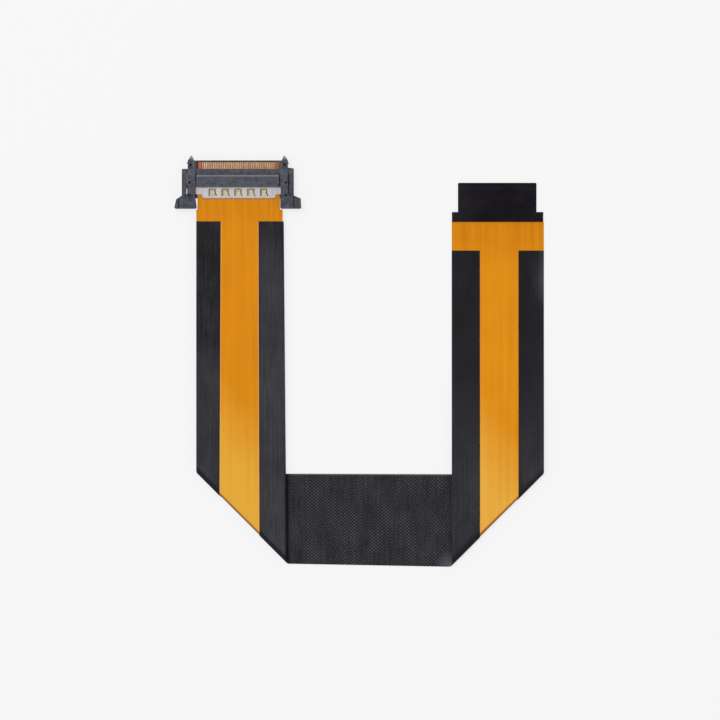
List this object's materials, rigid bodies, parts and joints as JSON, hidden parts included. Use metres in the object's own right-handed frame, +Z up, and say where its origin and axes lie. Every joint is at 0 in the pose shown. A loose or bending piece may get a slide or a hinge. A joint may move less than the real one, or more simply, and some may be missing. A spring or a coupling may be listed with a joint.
{
  "type": "flat flex cable",
  "caption": "Shielded flat flex cable folded into a U, with a moulded latching plug on one end and a bare stiffened contact tail on the other.",
  "frame": {"origin": "centre of the whole outline, on the surface that the cable lies on", "axes": "+X across the two legs from the plug leg to the tail leg, +Y along the legs towards the plug and the tail, +Z up from the table"},
  "size_m": [0.1026, 0.1142, 0.0032],
  "materials": {
    "amber_film": "satin amber polyimide film",
    "woven_shield": "fine black woven conductive cloth",
    "plug_plastic": "matt grey-black moulded plastic",
    "plate_metal": "bright nickel-plated sheet",
    "stiffener_black": "semi-gloss black film board",
    "gold_plate": "gold-plated copper"
  },
  "bodies": {
    "root": {"flex_film": "amber_film", "shield_fabric": "woven_shield", "plug_housing": "plug_plastic", "plug_cover": "plug_plastic", "ground_plate": "plate_metal", "end_stiffener": "stiffener_black", "ground_pad_1": "gold_plate", "ground_pad_2": "gold_plate", "ground_pad_3": "gold_plate", "ground_pad_4": "gold_plate", "ground_pad_5": "gold_plate", "conductor_01": "gold_plate", "conductor_02": "gold_plate", "conductor_03": "gold_plate", "conductor_04": "gold_plate", "conductor_05": "gold_plate", "conductor_06": "gold_plate", "conductor_07": "gold_plate", "conductor_08": "gold_plate", "conductor_09": "gold_plate", "conductor_10": "gold_plate", "conductor_11": "gold_plate", "conductor_12": "gold_plate", "conductor_13": "gold_plate", "conductor_14": "gold_plate", "conductor_15": "gold_plate", "conductor_16": "gold_plate", "conductor_17": "gold_plate", "conductor_18": "gold_plate", "conductor_19": "gold_plate", "conductor_20": "gold_plate", "conductor_21": "gold_plate", "conductor_22": "gold_plate", "conductor_23": "gold_plate", "conductor_24": "gold_plate", "conductor_25": "gold_plate", "conductor_26": "gold_plate", "conductor_27": "gold_plate", "conductor_28": "gold_plate", "conductor_29": "gold_plate", "conductor_30": "gold_plate", "conductor_31": "gold_plate", "conductor_32": "gold_plate", "conductor_33": "gold_plate", "conductor_34": "gold_plate", "conductor_35": "gold_plate", "conductor_36": "gold_plate", "conductor_37": "gold_plate", "conductor_38": "gold_plate", "conductor_39": "gold_plate", "conductor_40": "gold_plate", "conductor_41": "gold_plate"}
  },
  "joints": []
}
